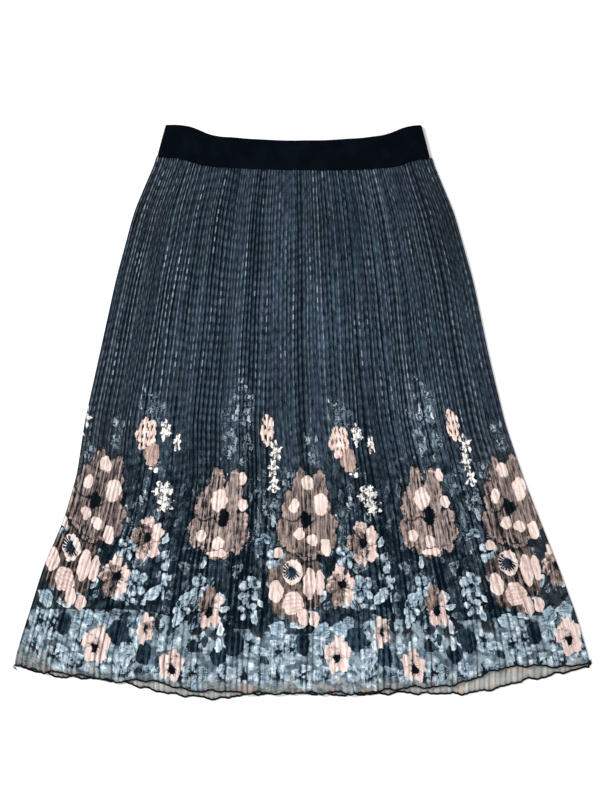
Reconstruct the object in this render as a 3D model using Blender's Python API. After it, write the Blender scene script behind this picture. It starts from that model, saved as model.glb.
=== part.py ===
"""Pull-on pleated midi skirt, lying flat on a surface with its front up.

The pieces are those a maker cuts and sews: a ring of wide elastic as the waistband, a front and a
back panel of finely pleated mesh, and a shorter lining, front and back, between the two panels.
Sizes are in metres. The waist points to +Y, the wearer's front faces +Z, and z = 0 is the surface
that the back panel lies on. Every panel is described by two shares: `u` runs from the left side
seam (0) to the right one (1), and the depth below the waist seam is `down`, counted from the
seam's middle.
"""

from math import cos, pi, sin
from random import Random
from typing import NamedTuple

import bmesh
import bpy
from mathutils import Vector

MM = 0.001

# Walls, and what lies between them
MESH_WALL = 1.25 * MM  # pleated outer cloth, measured upright
LINING_WALL = 1.0 * MM
ELASTIC_WALL = 2.0 * MM
GAP = 0.3 * MM  # between pieces that touch, also at the seams

# Pleats
PLEATS = 100  # on each panel
PLEAT_RISE = 1.1 * MM  # valley to ridge at the waist seam
PLEAT_RISE_HEM = 0.9 * MM  # the pleats open out towards the hem
PLEAT_UNEVEN = 0.22  # how far one pleat's width strays from the mean, as a share of it
PLEAT_SEED = 7

# Lining
LINING_LEFT = 0.10  # its side edges run along the pleats, at these shares of the panel
LINING_RIGHT = 0.90
PAST_LINING = 4 * MM  # how far the front stays raised beyond the lining's hem
DROP = 50 * MM  # the length over which it then comes down onto the back panel
SIDE_LEDGE = 0.015  # and beyond its sides, as a share of the panel
SIDE_LOW = 0.03  # where the front has come down onto the back panel

# Heights above the surface, from the bottom layer up
BACK_VALLEY = MESH_WALL
BACK_RIDGE = BACK_VALLEY + PLEAT_RISE_HEM
LINING_BACK_Z = BACK_RIDGE + GAP
LINING_FRONT_Z = LINING_BACK_Z + LINING_WALL + GAP
FRONT_HIGH = LINING_FRONT_Z + LINING_WALL + GAP  # underside of the front over the lining
FRONT_LOW = BACK_RIDGE + GAP  # and where it lies on the back panel

# Waistband
BAND_THICKNESS = 7.5 * MM  # over both layers of the ring, laid flat
BAND_STATIONS = 48  # along each layer
BAND_FOLD_STATIONS = 6  # round each end
BAND_ROWS = 4

# Rows of points down a panel, as shares of the two stretches that the lining's hem parts
UPPER_SHARES = (0.0, 0.12, 0.27, 0.43, 0.58, 0.70, 0.80, 0.90, 1.0)
LOWER_SHARES = (0.32, 0.66, 1.0)

# The hem's small waves: an overlocked edge never lies straight
HEM_WAVES = ((1.3 * MM, 33 * MM, 0.4), (0.9 * MM, 19 * MM, 2.1), (0.6 * MM, 52 * MM, 4.0))
HEM_LIFT = 2.2 * MM  # how high the front hem's waves stand off the back panel
HEM_LIFT_PITCH = 46 * MM


class Side(NamedTuple):
    """How far the cloth reaches from the centre line at a depth below the waist seam, in mm."""

    down: float
    left: float
    right: float


SIDES = (
    Side(down=-17, left=-176, right=178),
    Side(down=8, left=-190, right=189),
    Side(down=60, left=-208, right=210),
    Side(down=138, left=-229, right=232),
    Side(down=216, left=-246, right=249),
    Side(down=306, left=-266, right=268),
    Side(down=356, left=-276, right=284),
    Side(down=407, left=-283, right=301),
    Side(down=456, left=-298, right=321),
    Side(down=490, left=-315, right=331),
    Side(down=541, left=-331, right=355),
    Side(down=598, left=-350, right=373),
    Side(down=650, left=-365, right=388),
)


class Hem(NamedTuple):
    """Depth of the three hems at a distance across from the centre line, in mm."""

    across: float
    front: float
    back: float


HEMS = (
    Hem(across=-364, front=643, back=643),
    Hem(across=-325, front=652, back=655),
    Hem(across=-285, front=656, back=661),
    Hem(across=-225, front=665, back=666),
    Hem(across=-180, front=665, back=678),
    Hem(across=-140, front=676, back=684),
    Hem(across=-95, front=678, back=688),
    Hem(across=-60, front=680, back=683),
    Hem(across=50, front=680, back=683),
    Hem(across=95, front=680, back=683),
    Hem(across=140, front=674, back=681),
    Hem(across=195, front=671, back=682),
    Hem(across=225, front=665, back=681),
    Hem(across=250, front=655, back=678),
    Hem(across=280, front=647, back=670),
    Hem(across=310, front=645, back=663),
    Hem(across=345, front=646, back=656),
    Hem(across=387, front=643, back=646),
)


class LiningHem(NamedTuple):
    """Depth of the lining's hem at a distance across from the centre line, in mm."""

    across: float
    depth: float


LINING_HEMS = (
    LiningHem(across=-275, depth=572),
    LiningHem(across=-200, depth=575),
    LiningHem(across=-140, depth=588),
    LiningHem(across=-60, depth=598),
    LiningHem(across=50, depth=600),
    LiningHem(across=95, depth=588),
    LiningHem(across=170, depth=586),
    LiningHem(across=215, depth=587),
    LiningHem(across=298, depth=580),
)


class Band(NamedTuple):
    """Depth of the waistband's two edges at a distance across, in mm. Above the seam is negative."""

    across: float
    seam: float
    top: float


BANDS = (
    Band(across=-177, seam=-17, top=-57),
    Band(across=-150, seam=-14, top=-56),
    Band(across=-134, seam=-10, top=-52),
    Band(across=-122, seam=-7, top=-47),
    Band(across=-108, seam=-4, top=-43),
    Band(across=-85, seam=-2, top=-41),
    Band(across=-40, seam=0, top=-38),
    Band(across=20, seam=1, top=-37),
    Band(across=75, seam=1, top=-39),
    Band(across=110, seam=-1, top=-42),
    Band(across=133, seam=-4, top=-46),
    Band(across=155, seam=-11, top=-54),
    Band(across=178, seam=-15, top=-57),
)
BAND_TOP_REACH = (-166 * MM, 167 * MM)  # the elastic narrows from the seam up
BAND_SEAM_REACH = (-177 * MM, 178 * MM)


class Fold(NamedTuple):
    """A soft fold of the front panel, down the pleats: its place, stretch, height and half width."""

    u: float
    drift: float
    start: float
    end: float
    height: float
    half: float


FOLDS = (
    Fold(u=0.105, drift=-0.030, start=0.00, end=0.50, height=1.4, half=0.022),
    Fold(u=0.215, drift=-0.045, start=0.02, end=0.66, height=1.9, half=0.028),
    Fold(u=0.330, drift=-0.030, start=0.00, end=0.45, height=1.1, half=0.020),
    Fold(u=0.475, drift=-0.060, start=0.10, end=0.72, height=1.3, half=0.024),
    Fold(u=0.580, drift=-0.010, start=0.14, end=0.80, height=1.6, half=0.026),
    Fold(u=0.690, drift=0.015, start=0.04, end=0.50, height=1.0, half=0.020),
    Fold(u=0.815, drift=0.030, start=0.00, end=0.62, height=2.0, half=0.030),
    Fold(u=0.905, drift=0.015, start=0.03, end=0.40, height=1.3, half=0.020),
)


def curve_through(rows, key, value):
    """A smooth line through one column of a table, as a function of another column, in metres."""
    places = [getattr(row, key) * MM for row in rows]
    heights = [getattr(row, value) * MM for row in rows]
    chords = [(heights[i + 1] - heights[i]) / (places[i + 1] - places[i]) for i in range(len(rows) - 1)]
    slopes = [chords[0]] + [(a + b) / 2 for a, b in zip(chords, chords[1:])] + [chords[-1]]

    def at(place):
        place = min(max(place, places[0]), places[-1])
        i = next((i for i in range(len(rows) - 2) if place < places[i + 1]), len(rows) - 2)
        step = places[i + 1] - places[i]
        t = (place - places[i]) / step
        start = heights[i] + t * step * slopes[i]
        end = heights[i + 1] - (1 - t) * step * slopes[i + 1]
        return start + (end - start) * t * t * (3 - 2 * t)

    return at


side_left = curve_through(SIDES, "down", "left")
side_right = curve_through(SIDES, "down", "right")
front_hem = curve_through(HEMS, "across", "front")
back_hem = curve_through(HEMS, "across", "back")
lining_hem = curve_through(LINING_HEMS, "across", "depth")
band_seam = curve_through(BANDS, "across", "seam")
band_top = curve_through(BANDS, "across", "top")


def mix(a, b, share):
    return a + (b - a) * share


def smooth(edge0, edge1, x):
    """0 up to edge0, 1 past edge1, and an even curve between them."""
    t = min(max((x - edge0) / (edge1 - edge0), 0.0), 1.0)
    return t * t * (3 - 2 * t)


def hem_wave(across, phase):
    """The small in-plane waves of an overlocked hem."""
    return sum(height * sin(2 * pi * across / pitch + turn + phase) for height, pitch, turn in HEM_WAVES)


def place_across(u, down):
    """Distance from the centre line at a share u of the panel."""
    return mix(side_left(down), side_right(down), u)


def seam_depth(u):
    """Where a panel's top edge meets the waistband."""
    return band_seam(mix(*BAND_SEAM_REACH, u)) + GAP


def hem_across(u):
    return mix(HEMS[0].across, HEMS[-1].across, u) * MM


def lining_depth(u):
    return lining_hem(hem_across(u))


def panel_depths(u, hem):
    """The depths of a panel's rows of points, from the waist seam to the hem."""
    top, middle = seam_depth(u), lining_depth(u) + PAST_LINING
    upper = [mix(top, middle, share) for share in UPPER_SHARES]
    return upper + [mix(middle, hem, share) for share in LOWER_SHARES]


def pleat_lines():
    """Shares u of the pleats' valleys and ridges in turn, from one side seam to the other."""
    rng = Random(PLEAT_SEED)
    widths = [1 + PLEAT_UNEVEN * rng.uniform(-1, 1) for _ in range(PLEATS)]
    total, lines = sum(widths), [0.0]
    for width in widths:
        lines += [lines[-1] + width / total / 2, lines[-1] + width / total]
    return lines


def fold_height(u, share):
    """What the front's soft folds add at a share u across and a share of the length down."""
    added = 0.0
    for fold in FOLDS:
        centre = fold.u + fold.drift * share
        reach = max(0.0, 1 - ((u - centre) / fold.half) ** 2)
        length = smooth(fold.start - 0.02, fold.start + 0.08, share) * smooth(fold.end, fold.end - 0.15, share)
        added += fold.height * MM * reach**2 * length
    return added


def front_underside(u, down, hem):
    """Height of the front's underside: up over the lining, down onto the back panel past it."""
    beyond = down - (lining_depth(u) + PAST_LINING)
    lengthwise = 1 - smooth(0, DROP, beyond)
    sideways = smooth(SIDE_LOW, LINING_LEFT - SIDE_LEDGE, min(u, 1 - u))
    base = mix(FRONT_LOW, FRONT_HIGH, lengthwise * sideways)
    share = (down - seam_depth(u)) / (hem - seam_depth(u))
    wave = 0.5 - 0.5 * cos(2 * pi * hem_across(u) / HEM_LIFT_PITCH)
    curl = HEM_LIFT * wave * smooth(0.90, 1.0, share) * smooth(0.0, SIDE_LOW, min(u, 1 - u))
    return base + fold_height(u, share) + curl


def add_solid(name, points, faces, material, parent):
    """One closed body, its faces turned outwards."""
    shape = bmesh.new()
    corners = [shape.verts.new(point) for point in points]
    for face in faces:
        shape.faces.new([corners[i] for i in face])
    bmesh.ops.recalc_face_normals(shape, faces=shape.faces)
    mesh = bpy.data.meshes.new(name)
    shape.to_mesh(mesh)
    shape.free()
    mesh.materials.append(material)
    piece = bpy.data.objects.new(name, mesh)
    piece.parent = parent
    bpy.context.scene.collection.objects.link(piece)
    return piece


def sheet_between(upper, lower):
    """Points and faces of a wall between two grids of the same size."""
    rows, columns = len(upper), len(upper[0])
    points = [p for row in upper for p in row] + [p for row in lower for p in row]
    under = rows * columns
    faces = []
    for r in range(rows - 1):
        for c in range(columns - 1):
            quad = (r * columns + c, r * columns + c + 1, (r + 1) * columns + c + 1, (r + 1) * columns + c)
            faces += [quad, tuple(i + under for i in reversed(quad))]
    rim = rim_of(rows, columns)
    for a, b in zip(rim, rim[1:] + rim[:1]):
        faces.append((b, a, a + under, b + under))
    return points, faces


def rim_of(rows, columns):
    """Numbers of a grid's outer points, in order round it."""
    top = list(range(columns))
    right = [r * columns + columns - 1 for r in range(1, rows)]
    bottom = [(rows - 1) * columns + c for c in range(columns - 2, -1, -1)]
    left = [r * columns for r in range(rows - 2, 0, -1)]
    return top + right + bottom + left


def pleated_rows(hem_of, height_of):
    """A grid of points over a panel. Even columns are the pleats' valleys and odd ones the ridges."""
    lines = pleat_lines()
    hems = [hem_of(u) for u in lines]
    depths = [panel_depths(u, hem) for u, hem in zip(lines, hems)]
    grid = []
    for r in range(len(depths[0])):
        row = []
        for c, u in enumerate(lines):
            down = depths[c][r]
            row.append(Vector((place_across(u, down), -down, height_of(u, down, hems[c], c % 2))))
        grid.append(row)
    return grid


def rise_at(u, down, hem):
    """Height of a pleat's ridge over its valleys."""
    return mix(PLEAT_RISE, PLEAT_RISE_HEM, (down - seam_depth(u)) / (hem - seam_depth(u)))


def front_panel(material, parent):
    """The pleated front: a folded wall that comes down onto the back panel round the lining."""

    def hem(u):
        return front_hem(hem_across(u)) + hem_wave(hem_across(u), phase=0.0)

    def underside(u, down, hem_depth, ridge):
        return front_underside(u, down, hem_depth) + ridge * rise_at(u, down, hem_depth)

    lower = pleated_rows(hem, underside)
    upper = [[point + Vector((0, 0, MESH_WALL)) for point in row] for row in lower]
    return add_solid("front_panel", *sheet_between(upper, lower), material, parent)


def back_panel(material, parent):
    """The pleated back. It lies on the surface, so its underside is flat and its ridges face up."""

    def hem(u):
        return back_hem(hem_across(u)) + hem_wave(hem_across(u), phase=2.6)

    def upperside(_u, _down, _hem, ridge):
        return mix(BACK_VALLEY, BACK_RIDGE, ridge)

    upper = pleated_rows(hem, upperside)
    points = [point for row in upper for point in row]
    faces = []
    rows, columns = len(upper), len(upper[0])
    for r in range(rows - 1):
        for c in range(columns - 1):
            faces.append((r * columns + c, r * columns + c + 1, (r + 1) * columns + c + 1, (r + 1) * columns + c))
    rim = rim_of(rows, columns)
    base = [len(points) + i for i in range(len(rim))]
    points += [Vector((points[i].x, points[i].y, 0)) for i in rim]
    for i in range(len(rim)):
        after = (i + 1) % len(rim)
        faces.append((rim[after], rim[i], base[i], base[after]))
    faces.append(tuple(base))
    return add_solid("back_panel", points, faces, material, parent)


def lining_panel(name, height, material, parent):
    """One layer of the plain lining, its sides running along the pleats."""
    columns = 24
    lower = []
    for share in UPPER_SHARES:
        row = []
        for c in range(columns + 1):
            u = mix(LINING_LEFT, LINING_RIGHT, c / columns)
            down = mix(seam_depth(u), lining_depth(u), share)
            row.append(Vector((place_across(u, down), -down, height)))
        lower.append(row)
    upper = [[point + Vector((0, 0, LINING_WALL)) for point in row] for row in lower]
    return add_solid(name, *sheet_between(upper, lower), material, parent)


def band_outline(inset):
    """The flattened ring's section: (share across from -1 to 1, height), once round it.

    inset is how far the line lies inside the ring's outer face.
    """
    half = BAND_THICKNESS / 2
    radius = half - inset
    reach = (BAND_SEAM_REACH[1] - BAND_SEAM_REACH[0]) / 2
    straight = 1 - half / reach
    line = []
    for i in range(BAND_STATIONS + 1):
        line.append((mix(-straight, straight, i / BAND_STATIONS), half + radius))
    for i in range(1, BAND_FOLD_STATIONS):
        turn = pi / 2 - pi * i / BAND_FOLD_STATIONS
        line.append((straight + radius / reach * cos(turn), half + radius * sin(turn)))
    for i in range(BAND_STATIONS + 1):
        line.append((mix(straight, -straight, i / BAND_STATIONS), half - radius))
    for i in range(1, BAND_FOLD_STATIONS):
        turn = -pi / 2 - pi * i / BAND_FOLD_STATIONS
        line.append((-straight + radius / reach * cos(turn), half + radius * sin(turn)))
    return line


def waistband(material, parent):
    """A ring of wide elastic, folded flat at the two sides."""
    points, faces = [], []
    for inset in (0.0, ELASTIC_WALL):
        for r in range(BAND_ROWS):
            share = r / (BAND_ROWS - 1)
            left = mix(BAND_SEAM_REACH[0], BAND_TOP_REACH[0], share)
            right = mix(BAND_SEAM_REACH[1], BAND_TOP_REACH[1], share)
            for across, height in band_outline(inset):
                table_place = mix(*BAND_SEAM_REACH, (across + 1) / 2)
                down = mix(band_seam(table_place), band_top(table_place), share)
                points.append(Vector((mix(left, right, (across + 1) / 2), -down, height)))
    stations = len(points) // (2 * BAND_ROWS)
    inner = BAND_ROWS * stations
    last = (BAND_ROWS - 1) * stations
    for s in range(stations):
        after = (s + 1) % stations
        for r in range(BAND_ROWS - 1):
            quad = (r * stations + s, r * stations + after, (r + 1) * stations + after, (r + 1) * stations + s)
            faces += [quad, tuple(i + inner for i in reversed(quad))]
        faces.append((after, s, s + inner, after + inner))
        faces.append((last + s, last + after, last + after + inner, last + s + inner))
    return add_solid("waistband", points, faces, material, parent)


def cloth_material(name, colour, roughness):
    material = bpy.data.materials.new(name)
    material.use_nodes = True
    shader = material.node_tree.nodes["Principled BSDF"]
    shader.inputs["Base Color"].default_value = (*colour, 1.0)
    shader.inputs["Roughness"].default_value = roughness
    shader.inputs["Metallic"].default_value = 0.0
    return material


def centre_on_origin(pieces, holder):
    """Puts the middle of the garment's box over the origin."""
    corners = [point.co for piece in pieces for point in piece.data.vertices]
    middle_x = (min(p.x for p in corners) + max(p.x for p in corners)) / 2
    middle_y = (min(p.y for p in corners) + max(p.y for p in corners)) / 2
    holder.location = (-middle_x, -middle_y, 0)


def build():
    for old in list(bpy.data.objects):
        bpy.data.objects.remove(old, do_unlink=True)
    holder = bpy.data.objects.new("skirt", None)
    bpy.context.scene.collection.objects.link(holder)
    mesh_cloth = cloth_material("pleated_mesh", (0.045, 0.060, 0.075), 0.75)
    lining_cloth = cloth_material("lining", (0.010, 0.012, 0.016), 0.60)
    elastic = cloth_material("elastic", (0.004, 0.005, 0.007), 0.85)
    pieces = [
        back_panel(mesh_cloth, holder),
        lining_panel("lining_back", LINING_BACK_Z, lining_cloth, holder),
        lining_panel("lining_front", LINING_FRONT_Z, lining_cloth, holder),
        front_panel(mesh_cloth, holder),
        waistband(elastic, holder),
    ]
    centre_on_origin(pieces, holder)


build()
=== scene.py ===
"""Looks of a pull-on pleated midi skirt that lies flat, front up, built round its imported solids.

The outer cloth is a printed, finely pleated sheer mesh, made as two thin shells that keep the
outline of the CAD panels. Between them lies a plain dark lining, and a ribbed elastic holds the
waist. The waist points to +Y, and z = 0 is the surface that the skirt lies on.
"""

from math import pi
from random import Random
from typing import NamedTuple

import bpy
import numpy as np
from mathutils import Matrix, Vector


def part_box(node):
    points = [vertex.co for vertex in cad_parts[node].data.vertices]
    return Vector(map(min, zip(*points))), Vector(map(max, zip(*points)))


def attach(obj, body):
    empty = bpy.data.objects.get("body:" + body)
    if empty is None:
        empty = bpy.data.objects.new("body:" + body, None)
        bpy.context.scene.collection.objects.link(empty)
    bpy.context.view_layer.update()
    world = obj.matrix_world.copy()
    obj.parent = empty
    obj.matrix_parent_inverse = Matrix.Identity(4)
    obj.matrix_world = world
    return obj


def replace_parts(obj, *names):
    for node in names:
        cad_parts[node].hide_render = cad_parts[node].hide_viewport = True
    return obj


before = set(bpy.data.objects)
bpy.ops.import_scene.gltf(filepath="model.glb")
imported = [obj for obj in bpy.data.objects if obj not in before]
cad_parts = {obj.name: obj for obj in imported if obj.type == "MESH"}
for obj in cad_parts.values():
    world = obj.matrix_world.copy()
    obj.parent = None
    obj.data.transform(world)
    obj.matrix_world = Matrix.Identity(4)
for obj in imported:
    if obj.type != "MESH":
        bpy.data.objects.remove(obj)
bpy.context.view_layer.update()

MM = 0.001
BODY = "root"

# Cloth and thread
MESH_THICK = 0.40 * MM
LINING_THICK = 0.45 * MM
ELASTIC_THICK = 1.5 * MM
SEAM_WIDE = 1.4 * MM
SEAM_THICK = 0.7 * MM
SEAM_LAP = 0.6 * MM  # how far the elastic laps the cloth at the waist
THREAD_THICK = 0.9 * MM
THREAD_SEED = 5
LOOSE_ENDS = 3, 12  # at the hem's left and right corner
GAP = 0.3 * MM
LINING_RIB = 1.1 * MM

# The elastic: its ribs and picks in mm, its rows as shares of its width
ELASTIC_WIDE = 40.0
RIB_PITCH = 1.25
PICK_PITCH = 0.9
BAND_ROWS = (0.0, 0.012, 0.04, 0.12, 0.25, 0.4, 0.55, 0.7, 0.82, 0.92, 0.97, 0.99, 1.0)
BAND_STATIONS = 150
BAND_TURNS = 12
BAND_ROUNDING = 0.35 * MM
BAND_RIPPLE = 0.25 * MM

# The hems' overlocking: half widths and half heights, and the stitches
OVERLOCK_STEP = 1.0 * MM
OVERLOCK_CORE = (1.15 * MM, 0.65 * MM)
OVERLOCK_WRAP = (1.35 * MM, 0.75 * MM)
OVERLOCK_YARN = 0.22 * MM
STITCH_STEPS = 1.25  # steps along the hem from one stitch to the next
STITCH_POINTS = 9
HEM_CLEAR = 0.95 * MM  # the least height of the back hem's middle above the floor

# Pleats, as the CAD panels have them
PLEATS = 100
PLEAT_UNEVEN = 0.22
PLEAT_SEED = 7
PROFILE = (0.0, 0.22, 0.46, 0.66, 0.84)  # places across one pleat, as shares of its width
CREST = 1.65  # how far each pleat leans to the right: 1 stands straight
RISE_WAIST = 1.45 * MM
RISE_HEM = 1.20 * MM
CLOTH_ROWS = 96

# Where the front comes down round the lining, as in the CAD panel
LINING_SIDE = 0.10
SIDE_LEDGE = 0.015
SIDE_LOW = 0.03
PAST_LINING = 4 * MM
DROP = 50 * MM
HEM_LIFT = 2.2 * MM
HEM_LIFT_PITCH = 46 * MM
HEM_SCALLOP = 1.1 * MM  # how far each pleat's ridge hangs past its valleys, at the hem

# The print: where it repeats, and how the pleats hide part of it
REPEAT = 273.0  # mm across, in the laid skirt at FAN_LEVEL
REPEAT_START = -159.0
FAN_LEVEL = 450.6  # mm below the seam
FAN_TOP = -741.0  # the level where the print's upright lines would meet
FAN_SHIFT = 4.4 * MM  # from the waistband's middle to the print's
HIDDEN = 0.20  # share of a pleat's cloth that its fold hides
SIDE_REACH = 270.0  # mm from the print's middle to the side seams
LEFT_LIFT, RIGHT_LIFT = 26.0, 14.0  # mm that the print rises at the side seams
LEFT_SLIP, RIGHT_SLIP = 5.0, 6.5  # mm that it lies further in there
DASH_PITCH = 12.0  # mm from one woven dash to the next, down a pleat
STRAY = 1.9  # how far the pleats' lines stray, in pleats for the whole range of a noise
# Painted shade for the pleats' valleys
VALLEY_SHADE = "030b14"
# Painted highlight for the pleats' crests
CREST_HIGHLIGHT = "a5b3be"
CELL_SPREAD = 0.65  # how far scattered petals stray from their cells' middles

# The view from above
VIEW_TALL = 1.040  # metres from top to bottom
VIEW_SHIFT = 3.9 * MM  # its middle, right of the print's middle
VIEW_DROP = 300.3 * MM  # and below the waist seam
VIEW_LEVEL = 4 * MM  # the height at which it is that tall
LENS = 50.0
SKY = 0.55
FLOOR_HALF = 6.0


class Fold(NamedTuple):
    """A soft fold of the front, down the pleats: its place, stretch, height and half width."""

    u: float
    drift: float
    start: float
    end: float
    height: float
    half: float


FOLDS = (
    Fold(u=0.105, drift=-0.030, start=0.00, end=0.50, height=1.4, half=0.022),
    Fold(u=0.215, drift=-0.045, start=0.02, end=0.66, height=1.9, half=0.028),
    Fold(u=0.330, drift=-0.030, start=0.00, end=0.45, height=1.1, half=0.020),
    Fold(u=0.475, drift=-0.060, start=0.10, end=0.72, height=1.3, half=0.024),
    Fold(u=0.580, drift=-0.010, start=0.14, end=0.80, height=1.6, half=0.026),
    Fold(u=0.690, drift=0.015, start=0.04, end=0.50, height=1.0, half=0.020),
    Fold(u=0.815, drift=0.030, start=0.00, end=0.62, height=2.0, half=0.030),
    Fold(u=0.905, drift=0.015, start=0.03, end=0.40, height=1.3, half=0.020),
)


# ---------------------------------------------------------------------------------------------
# Small tools
# ---------------------------------------------------------------------------------------------


def mix(a, b, share):
    return a + (b - a) * share


def smooth(edge0, edge1, x):
    """0 up to edge0, 1 past edge1, and an even curve between them."""
    t = np.clip((x - edge0) / (edge1 - edge0), 0.0, 1.0)
    return t * t * (3 - 2 * t)


def linear(code):
    """A colour written as six hexadecimal digits, as linear light with full alpha."""
    parts = [int(code[i : i + 2], 16) / 255 for i in (0, 2, 4)]
    return tuple(c / 12.92 if c <= 0.04045 else ((c + 0.055) / 1.055) ** 2.4 for c in parts) + (1.0,)


def evened(values, reach):
    """Values along a line, each the mean of its neighbours within reach."""
    padded = np.concatenate([np.full(reach, values[0]), values, np.full(reach, values[-1])])
    return np.convolve(padded, np.ones(2 * reach + 1) / (2 * reach + 1), "valid")


class Outline:
    """The outline of a CAD solid, seen from above."""

    SAMPLES = 400
    INSET = 0.2 * MM

    def __init__(self, node):
        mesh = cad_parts[node].data
        points = np.array([v.co for v in mesh.vertices])
        edges = np.array([e.vertices for e in mesh.edges])
        self.ends = points[edges[:, 0]], points[edges[:, 1]]
        left_corner = points[points[:, 0].argmin()]
        right_corner = points[points[:, 0].argmax()]
        self.bottom_ends = left_corner[0], right_corner[0]
        upper_left = points[(points @ (-1, 1, 0)).argmax()]
        upper_right = points[(points @ (1, 1, 0)).argmax()]
        self.top_ends = upper_left[0], upper_right[0]
        self.left = self.side(0, left_corner[1], upper_left[1])
        self.right = self.side(1, right_corner[1], upper_right[1])
        self.lower = self.edge(0, self.bottom_ends)
        self.upper = self.edge(1, self.top_ends)

    def crossings(self, axis, at):
        """Lowest and highest place where the solid's edges cross each line at a value of an axis."""
        a, b = self.ends
        found = []
        for value in at:
            cut = (a[:, axis] < value) != (b[:, axis] < value)
            share = (value - a[cut, axis]) / (b[cut, axis] - a[cut, axis])
            place = mix(a[cut, 1 - axis], b[cut, 1 - axis], share)
            found.append((place.min(), place.max()))
        return np.array(found)

    def side(self, which, low, high):
        """X of the left (0) or right (1) side, as a function of y."""
        at = np.linspace(low + 1 * MM, high - self.INSET, self.SAMPLES)
        places = evened(self.crossings(1, at)[:, which], 8)
        return lambda y: np.interp(y, at, places)

    def edge(self, which, ends):
        """Y of the lower (0) or upper (1) edge, as a function of x."""
        at = np.linspace(ends[0] + self.INSET, ends[1] - self.INSET, self.SAMPLES)
        places = evened(self.crossings(0, at)[:, which], 1)
        return lambda x: np.interp(x, at, places)

    def grid(self, columns, rows):
        """X and y of points at shares of the width (columns) and of the length (rows)."""
        u, share = columns[None, :], rows[:, None]
        top_x, bottom_x = mix(*self.top_ends, u), mix(*self.bottom_ends, u)
        for _ in range(4):
            top, bottom = self.upper(top_x), self.lower(bottom_x)
            top_x = mix(self.left(top), self.right(top), u)
            bottom_x = mix(self.left(bottom), self.right(bottom), u)
        y = mix(top, bottom, share)
        return mix(self.left(y), self.right(y), u), y


PANELS = "front_panel", "back_panel", "lining_front", "lining_back"
OUTLINES = {name: Outline(name) for name in PANELS}
SEAM_DIP = 1.5 * MM
SEAM_Y = OUTLINES["front_panel"].upper(0.0) + SEAM_DIP  # the waist seam, before it dips in the middle
FAN_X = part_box("waistband")[0].lerp(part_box("waistband")[1], 0.5).x + FAN_SHIFT


def new_piece(name, points, faces, *materials, sides=None, **per_point):
    """A mesh object that rides on the skirt's body, shaded smooth, with vectors for its points.
    sides gives each face its material's number."""
    mesh = bpy.data.meshes.new(name)
    mesh.from_pydata(np.asarray(points).tolist(), [], np.asarray(faces).tolist() if len(faces) else [])
    for key, vectors in per_point.items():
        attribute = mesh.attributes.new(key, "FLOAT_VECTOR", "POINT")
        attribute.data.foreach_set("vector", np.asarray(vectors, np.float32).ravel())
    mesh.shade_smooth()
    for material in materials:
        mesh.materials.append(material)
    if sides is not None:
        mesh.polygons.foreach_set("material_index", sides)
    piece = bpy.data.objects.new(name, mesh)
    bpy.context.scene.collection.objects.link(piece)
    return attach(piece, BODY)


def grid_faces(rows, columns, start=0, wrap=False, flip=False):
    """Quads over a grid of points. wrap joins the last column to the first."""
    r = np.arange(rows - 1)[:, None] * columns + start
    c = np.arange(columns if wrap else columns - 1)[None, :]
    after = (c + 1) % columns
    quads = np.stack([r + c, r + after, r + columns + after, r + columns + c], -1).reshape(-1, 4)
    return quads[:, ::-1] if flip else quads


def rim_of(rows, columns):
    """Numbers of a grid's outer points, in order round it."""
    top = np.arange(columns)
    right = np.arange(1, rows) * columns + columns - 1
    bottom = (rows - 1) * columns + np.arange(columns - 2, -1, -1)
    left = np.arange(rows - 2, 0, -1) * columns
    return np.concatenate([top, right, bottom, left])


def normals_of(grid):
    """Unit normals of a grid of points, pointing up."""
    across = np.gradient(grid, axis=1)
    down = np.gradient(grid, axis=0)
    normal = np.cross(down, across)
    normal *= np.sign(normal[..., 2:])
    return normal / np.linalg.norm(normal, axis=-1, keepdims=True)


def shell(grid, thick):
    """Points and faces of a closed thin wall that stands thick above a grid of points, and which
    faces look down or sideways."""
    rows, columns = grid.shape[:2]
    above = grid + normals_of(grid) * thick
    count = rows * columns
    points = np.concatenate([above.reshape(-1, 3), grid.reshape(-1, 3)])
    rim = rim_of(rows, columns)
    after = np.roll(rim, -1)
    band = np.stack([rim, after, after + count, rim + count], -1)
    top = grid_faces(rows, columns, flip=True)
    under = grid_faces(rows, columns, start=count)
    lower = np.arange(len(top) + len(under) + len(band)) >= len(top)
    return points, np.concatenate([top, under, band]), lower


# ---------------------------------------------------------------------------------------------
# Materials
# ---------------------------------------------------------------------------------------------


class Value:
    """One output of a material's nodes. Arithmetic on it adds Math nodes."""

    def __init__(self, finish, socket):
        self.finish = finish
        self.socket = socket

    def __add__(self, other):
        return self.finish.maths("ADD", self, other)

    def __radd__(self, other):
        return self.finish.maths("ADD", other, self)

    def __sub__(self, other):
        return self.finish.maths("SUBTRACT", self, other)

    def __rsub__(self, other):
        return self.finish.maths("SUBTRACT", other, self)

    def __mul__(self, other):
        return self.finish.maths("MULTIPLY", self, other)

    def __rmul__(self, other):
        return self.finish.maths("MULTIPLY", other, self)

    def __truediv__(self, other):
        return self.finish.maths("DIVIDE", self, other)

    def __lt__(self, other):
        return self.finish.maths("LESS_THAN", self, other)

    def __abs__(self):
        return self.finish.maths("ABSOLUTE", self)


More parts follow.
